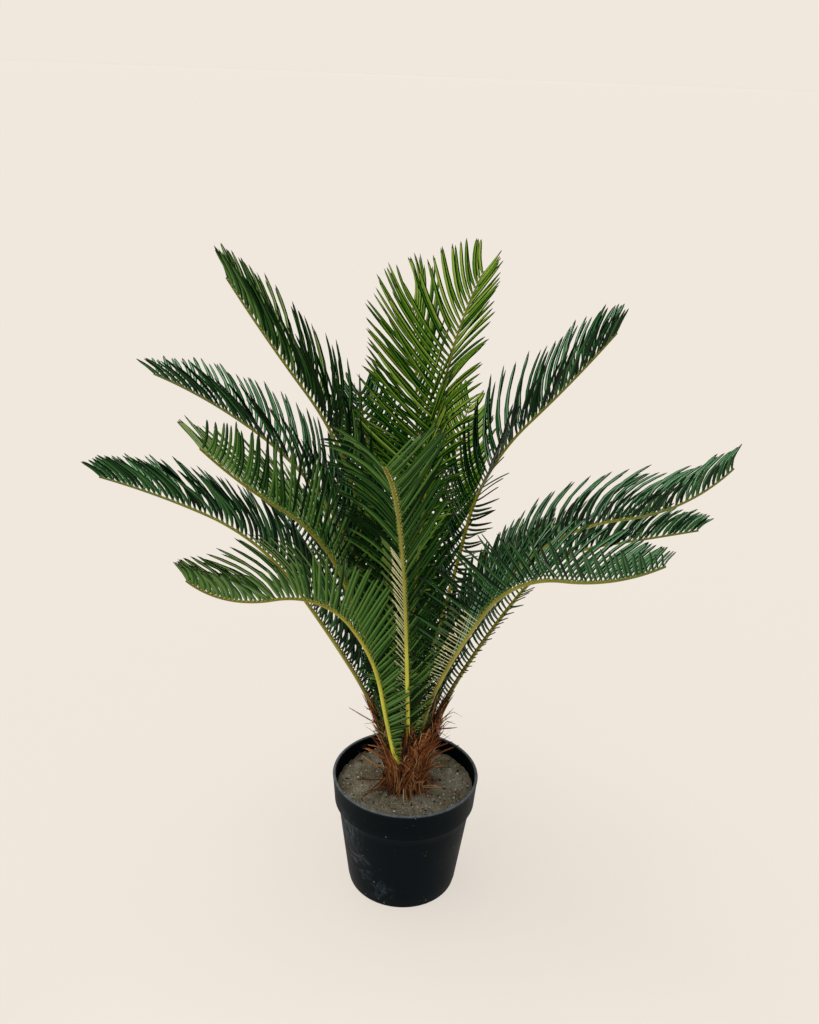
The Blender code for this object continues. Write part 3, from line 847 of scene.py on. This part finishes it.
def makeCore():
    # a round core with fine slanting ridges, each the sine of its turns round and its slant times the height,
    # and a rough skin; its top is sunk towards the middle
    form, sides, top = coreForm, coreForm["sides"], stemForm["top"]
    heights = np.linspace(stemForm["foot"], top - form["topIn"], form["rings"])
    around, level = np.meshgrid(circle(sides), heights)
    ridge = sum(height * np.sin(turns * around + slant * level + start)
                for height, turns, slant, start in form["ridges"])
    height, size, seed = form["rough"]
    spots = polar(around, 1, level) * np.array(form["stretch"])
    rings = stemPoint(around, level, ridge + height * softNoise(spots, size, seed) - form["inside"])
    quads, footCap, _ = gridFaces(1, form["rings"], sides)
    points = np.concatenate([rings.reshape(-1, 3), [(stemForm["lean"], 0, top - form["sink"])]])
    fan = fanFaces(len(points) - 1 - sides, sides, len(points) - 1)
    return putPiece("stem_core", points, (quads, footCap, fan), [coreFinish()])


settle(makeCore(), "stem_fibre", "stem")

fibreFinishes = [plainFinish(*values) for values in (
    ("fibre_dark", (50, 28, 14), 0.8, 0.2), ("fibre_brown", (128, 76, 40), 0.75, 0.2),
    ("fibre_rust", (178, 106, 55), 0.7, 0.25), ("fibre_tan", (206, 150, 98), 0.65, 0.25),
    ("fibre_pale", (222, 186, 146), 0.6, 0.25))]

# What all strands have unless they say otherwise: thickness and the breadth along a strand as shares of its
# breadth, the slots it is dealt and the one its tip has
strandForm = {
    "turn": (0, 2 * np.pi), "flatness": 0.6, "ends": (0.55, 0.3), "middle": (1, 0.95),
    "taperAt": (0, 0.25, 0.7, 1), "shades": (0, 1, 2, 3, 4), "tipShade": None,
}


def even(chance, form, part):
    # one value for each strand, as a column, between the two that the form gives for the part
    return chance.uniform(*form[part], form["count"])[:, None]


def about(chance, form, part):
    return chance.normal(0, form[part], form["count"])[:, None]


def dealShades(chance, form, count):
    return chance.choice(form["shades"], count, p=form["shares"])


def strandPiece(name, form, chance, paths, outward, shades=None):
    # Each path becomes a four-sided strand, widest in its middle, lying flat against what it is on. Shades are
    # drawn after the breadths, if they aren't given.
    count, rings = paths.shape[:2]
    breadths = chance.uniform(*form["breadth"], count)
    if shades is None:
        shades = dealShades(chance, form, count)
    ahead = unit(np.gradient(paths, axis=1))
    across = unit(np.cross(outward, ahead))
    up = np.cross(ahead, across)
    foot, tip = form["ends"]
    taper = np.interp(np.linspace(0, 1, rings), form["taperAt"], (foot, *form["middle"], tip))
    flatness = form["flatness"]
    wide = breadths[:, None] * taper / 2
    outline = wide[..., None, None] * np.array([(1, 0), (0, flatness), (-1, 0), (0, -flatness)])
    slots = np.repeat(shades[:, None], (rings - 1) * 4, 1)
    tips = shades
    if form["tipShade"] is not None:
        slots[:, -8:] = form["tipShade"]
        tips = np.full(count, form["tipShade"])
    slots = np.concatenate([slots.reshape(-1), shades, tips])
    rows = sweepRings(paths, across, up, outline)
    return putPiece(name, rows, gridFaces(count, rings, 4), fibreFinishes, slots)


wrapForm = {
    **strandForm, "count": 1150, "rings": 12, "low": (stemForm["foot"] - 0.001, 0.176),
    "length": (0.016, 0.056), "overTop": 0.014, "highest": (0.182, 0.212), "drift": 0.50,
    "swing": (0.01, 0.05), "waves": (4, 11), "start": (0, 6.3), "stand": (-0.0004, 0.0022), "stray": 0.0030,
    "breadth": (0.0006, 0.0016), "shares": (0.20, 0.32, 0.29, 0.15, 0.04),
    # where it parts before the frond in front: angle, half breadth, and the height it starts from
    "part": (256, 9, 0.172),
}


def wrapPaths(form, chance, share):
    # Strands up the stem: each drifts and waves a little about its own angle, and its end strays off the stem
    turn, low, length = [even(chance, form, part) for part in ("turn", "low", "length")]
    drift = about(chance, form, "drift")
    swing, waves, start, highest, stand = [even(chance, form, part)
                                           for part in ("swing", "waves", "start", "highest", "stand")]
    stray = chance.exponential(form["stray"], form["count"])[:, None] * share ** 2.5
    around = turn + drift * share + swing * np.sin(share * waves + start)
    height = np.minimum(np.minimum(low + length * share, stemForm["top"] + form["overTop"]), highest)
    partAt, partHalf, partFrom = form["part"]
    off = np.abs((around - math.radians(partAt) + np.pi) % (2 * np.pi) - np.pi).min(1)
    kept = (off > math.radians(partHalf)) | (height.max(1) < partFrom)
    paths = stemPoint(around, height, stand + stray)[kept]
    paths[..., 2] = np.maximum(paths[..., 2], stemForm["foot"])
    return paths, unit(paths * np.array([1, 1, 0]))


sleeveForm = {
    **strandForm, "perStalk": 26, "rings": 10, "reach": 0.35, "topSpread": 0.010, "length": (0.020, 0.045),
    "twist": 0.5, "stand": 0.0029, "more": 0.0012, "breadth": (0.0007, 0.0016),
    "shares": (0.26, 0.34, 0.25, 0.12, 0.03),
}


def sleevePaths(form, chance, share):
    # Strands that cling round the foot of every stalk, from inside the wrap to the stalk's own wrap height
    fine = np.linspace(0, form["reach"], 141)
    paths, outward = [], []
    for name, design in frondDesigns.items():
        look = frondLooks[name]
        heights = ribCurve(design, fine)[0][:, 2]
        for _ in range(form["perStalk"]):
            high = look["wrapTop"] - abs(chance.normal(0, form["topSpread"]))
            low = max(heights[0], high - chance.uniform(*form["length"]))
            along = np.interp(low + (high - low) * share, heights, fine)
            points, _, sideways, upper = ribCurve(design, along, look["stand"])
            turn = chance.uniform(*form["turn"]) + chance.normal(0, form["twist"]) * share
            stand = form["stand"] + chance.uniform(0, form["more"])
            stand = stand + chance.exponential(form["more"]) * share ** 3
            out = blend(turn, sideways, upper)
            paths.append(points + out * stand[:, None])
            outward.append(out)
    return np.array(paths), np.array(outward)


splayForm = {
    **strandForm, "count": 190, "rings": 10, "sway": 0.12, "reach": 0.0045, "least": 0.0015,
    "rise": (0.008, 0.026), "breadth": (0.0007, 0.0014), "shares": (0.18, 0.34, 0.30, 0.14, 0.04),
}


def splayPaths(form, chance, share):
    # Strands that bend out of the wrap's foot and lie on the fill
    turn = even(chance, form, "turn") + about(chance, form, "sway") * share
    reach = chance.exponential(form["reach"], form["count"])[:, None] + form["least"]
    height = stemForm["foot"] + even(chance, form, "rise")
    fallen = np.minimum(1, share * 1.25)
    level = height * (1 - fallen) + (stemForm["foot"] + 0.0009) * fallen
    out = stemRadius(level) + 0.001 + reach * share ** 2.2
    paths = polar(turn, out, level)
    paths[..., 2] = np.maximum(level, fillTop(paths[..., 0], paths[..., 1]) + 0.0003)
    return paths, unit(polar(turn, 1, 0.6))


looseForm = {
    **strandForm, "count": 70, "rings": 7, "reach": (0.026, 0.066), "bend": 0.5, "half": (0.0015, 0.005),
    "edge": 0.068, "breadth": (0.0003, 0.0006), "shares": (0.12, 0.2, 0.2, 0.3, 0.18),
}


def loosePaths(form, chance, share):
    # Short pale hairs lying about on the fill, each a shallow arc
    spots = scatter(form["count"], *form["reach"], 56)
    share = np.linspace(-1, 1, form["rings"])
    bearing = even(chance, form, "turn") + about(chance, form, "bend") * share
    half = even(chance, form, "half") * share
    x = np.clip(spots[:, 0:1] + half * np.cos(bearing), -form["edge"], form["edge"])
    y = np.clip(spots[:, 1:2] + half * np.sin(bearing), -form["edge"], form["edge"])
    paths = np.stack([x, y, fillTop(x, y) + 0.0003], -1)
    shades = dealShades(chance, form, len(paths))
    return paths, (0, 0, 1), shades


def walkPaths(foot, slope, bearing, length):
    # from each foot, the running sum of equal steps along the slope and bearing at every ring
    aim = polar(bearing, np.cos(slope), np.sin(slope))
    steps = (aim[:, 1:] + aim[:, :-1]) / 2 * length[..., None] / (slope.shape[1] - 1)
    return np.concatenate([foot[:, None], foot[:, None] + np.cumsum(steps, 1)], 1)


# Stiff bristles: angle and height where each leaves the wrap, its length, and its rise at foot and tip
bristles = [
    (184, 0.218, 0.015, 34, 8), (188, 0.185, 0.037, 38, 34), (186, 0.200, 0.012, 41, 14),
    (190, 0.177, 0.019, 56, 60), (186, 0.172, 0.011, 39, 58), (192, 0.159, 0.022, 28, 18),
    (208, 0.139, 0.044, 26, 56), (200, 0.137, 0.034, 20, 60), (222, 0.120, 0.037, 29, -4),
    (214, 0.150, 0.040, 40, 44), (204, 0.124, 0.036, 22, 20), (-34, 0.120, 0.034, 24, 28),
    (-16, 0.148, 0.040, 42, 34), (196, 0.148, 0.030, 36, 30), (-6, 0.184, 0.018, 19, 10),
    (-10, 0.160, 0.020, 57, 56), (-8, 0.156, 0.028, 41, 31), (-26, 0.138, 0.036, 37, 37),
    (24, 0.170, 0.026, 44, 30), (48, 0.150, 0.032, 34, 44), (70, 0.182, 0.022, 40, 26),
    (92, 0.140, 0.036, 30, 38), (112, 0.168, 0.028, 46, 40), (128, 0.126, 0.034, 24, 8),
    (150, 0.152, 0.030, 36, 52), (160, 0.182, 0.022, 42, 28), (38, 0.124, 0.030, 22, -2),
    (300, 0.128, 0.020, 40, 30), (272, 0.150, 0.014, 60, 40),
]
bristleForm = {
    **strandForm, "rings": 14, "inside": -0.002, "longer": 0.006, "sway": 0.14, "wave": (0.08, 9, 5),
    "breadth": (0.0020, 0.0030), "flatness": 0.7, "shades": (1, 2, 3), "shares": (0.4, 0.35, 0.25),
    "tipShade": 0, "ends": (1.0, 0.3),
}


def bristlePaths(form, chance, share):
    # Each leaves the wrap at its foot slope and bends evenly to its tip slope, with a slight sideways sway
    angle, height, length, first, last = np.array(bristles).T[..., None]
    turn = np.radians(angle)
    size, waves, start = form["wave"]
    sway = turn + chance.normal(0, form["sway"], turn.shape) * share
    sway = sway + size * np.sin(share * waves + turn * start)
    foot = stemPoint(turn[:, 0], height[:, 0], form["inside"])
    paths = walkPaths(foot, np.radians(first + (last - first) * share), sway, length + form["longer"])
    return paths, (0, 0, 1)


tuftForm = {
    **strandForm, "count": 190, "rings": 10, "sway": 0.35, "height": (0.120, 0.186), "slope": (34, 80),
    "bend": 22, "length": (0.010, 0.034), "inside": -0.0005, "breadth": (0.0007, 0.0015),
    "shares": (0.10, 0.30, 0.30, 0.24, 0.06), "ends": (1.0, 0.25),
}


def tuftPaths(form, chance, share):
    # Shorter, softer strands that stand off the wrap all round, leaning out and up
    turn = even(chance, form, "turn") + about(chance, form, "sway") * share
    height = even(chance, form, "height")[:, 0]
    slope = np.radians(even(chance, form, "slope") + about(chance, form, "bend") * share)
    foot = stemPoint(turn[:, 0], height, form["inside"])
    paths = walkPaths(foot, slope, turn, even(chance, form, "length"))
    shades = dealShades(chance, form, len(paths))
    return paths, polar(turn, 1, 0), shades


for name, slotName, seed, form, makePaths in (
        ("fibre_wrap", "stem_fibre", 51, wrapForm, wrapPaths),
        ("fibre_sleeves", "stem_fibre", 52, sleeveForm, sleevePaths),
        ("fibre_splay", "stem_fibre", 53, splayForm, splayPaths),
        ("fibre_bristles", "stem_fibre", 54, bristleForm, bristlePaths),
        ("fibre_tufts", "stem_fibre", 57, tuftForm, tuftPaths),
        ("fill_hairs", "fill_mortar", 55, looseForm, loosePaths)):
    chance = np.random.default_rng(seed)
    share = np.linspace(0, 1, form["rings"])
    settle(strandPiece(name, form, chance, *makePaths(form, chance, share)), slotName)
print("stem and fibres made")


# Floor, light and camera

stageForm = {
    "front": 3.0, "back": 60.0, "half": 60.0, "wall": 6.0,
    "colours": ((241, 232, 221), (239.8, 231.8, 221.7)), "matte": 0.24, "glow": (0.774, 0.841),
    "lifted": (0.0, -0.40, 0.0), "liftedReach": (0.08, 0.40), "lift": 0.05, "farReach": (54.0, 60.0),
    "farLift": -0.03,
}


def makeStage():
    # a level floor that runs far back to an upright wall; both glow a little, so that they are even
    form = stageForm
    points = [(x, y, z) for y, z in ((-form["front"], 0), (form["back"], 0), (form["back"], form["wall"]))
              for x in (-form["half"], form["half"])]
    finishes = []
    for name, colour, glow in zip(("stage_floor", "stage_wall"), form["colours"], form["glow"]):
        finish, tree, shader = newFinish(name)
        paper = np.array(screen(*colour))
        setSockets(shader, {"Base Color": (*paper * form["matte"], 1), "Roughness": 0.95,
                            "Specular IOR Level": 0.0, "Emission Color": (*paper, 1),
                            "Emission Strength": glow})
        finishes.append(finish)
    # the floor glows more before the pot, where the crown shades it, and less where the wall lights it
    tree, glow = finishes[0].node_tree, form["glow"][0]
    away = distanceNode(tree, form["lifted"])
    near = rangeNode(tree, away, *form["liftedReach"], glow + form["lift"], glow)
    far = rangeNode(tree, away, *form["farReach"], 0.0, form["farLift"])
    shader = tree.nodes["Principled BSDF"]
    feed(tree, shader.inputs["Emission Strength"], mathNode(tree, "ADD", near, far))
    faces = np.array([[0, 1, 3, 2], [2, 3, 5, 4]])
    sheet = putPiece("stage", points, [faces], finishes, [0, 1], smooth=False)


lightForm = {
    "sky": ((0.95, 0.98, 1.0), 0.28),
    "back": {"aim": (0.18, -0.12, -1.0), "angle": 40, "strength": 1.75, "colour": (1.0, 0.99, 0.97)},
    "front": {"aim": (0.55, 1.0, -1.0), "angle": 70, "strength": 0.6, "colour": (0.97, 0.99, 1.0)},
}


def makeSun(name, aim, angle, strength, colour):
    lamp = bpy.data.lights.new(name, "SUN")
    lamp.angle = math.radians(angle)
    lamp.energy = strength
    lamp.color = colour
    holder = bpy.data.objects.new(name, lamp)
    holder.rotation_euler = Vector(aim).to_track_quat("-Z", "Y").to_euler()
    bpy.context.scene.collection.objects.link(holder)


def makeLight():
    colour, strength = lightForm["sky"]
    world = bpy.data.worlds.new("studio")
    world.use_nodes = True
    setSockets(world.node_tree.nodes["Background"], {"Color": (*colour, 1), "Strength": strength})
    bpy.context.scene.world = world
    makeSun("lamp_back", **lightForm["back"])
    makeSun("lamp_front", **lightForm["front"])


# The camera, fitted to the pot's ellipses in the 819 by 1024 picture
cameraForm = {
    "place": (-0.0061, -0.9506, 0.8135), "pitch": 0.3913, "roll": 0.0386, "focalPixels": 1100,
    "longSidePixels": 1024, "sensor": 36, "nearest": 0.01,
}


def makeCamera():
    # it looks along +Y, tipped down by its pitch and rolled about its own axis
    form = cameraForm
    lens = bpy.data.cameras.new("camera")
    lens.sensor_width = form["sensor"]
    lens.lens = form["focalPixels"] / form["longSidePixels"] * form["sensor"]
    lens.clip_start = form["nearest"]
    eye = bpy.data.objects.new("camera", lens)
    eye.matrix_world = (Matrix.Translation(form["place"])
                        @ Matrix.Rotation(math.pi / 2 - form["pitch"], 4, "X")
                        @ Matrix.Rotation(form["roll"], 4, "Z"))
    bpy.context.scene.collection.objects.link(eye)
    bpy.context.scene.camera = eye


makeStage()
makeLight()
makeCamera()
bpy.context.scene.view_settings.view_transform = "Standard"
print("stage, light and camera made")
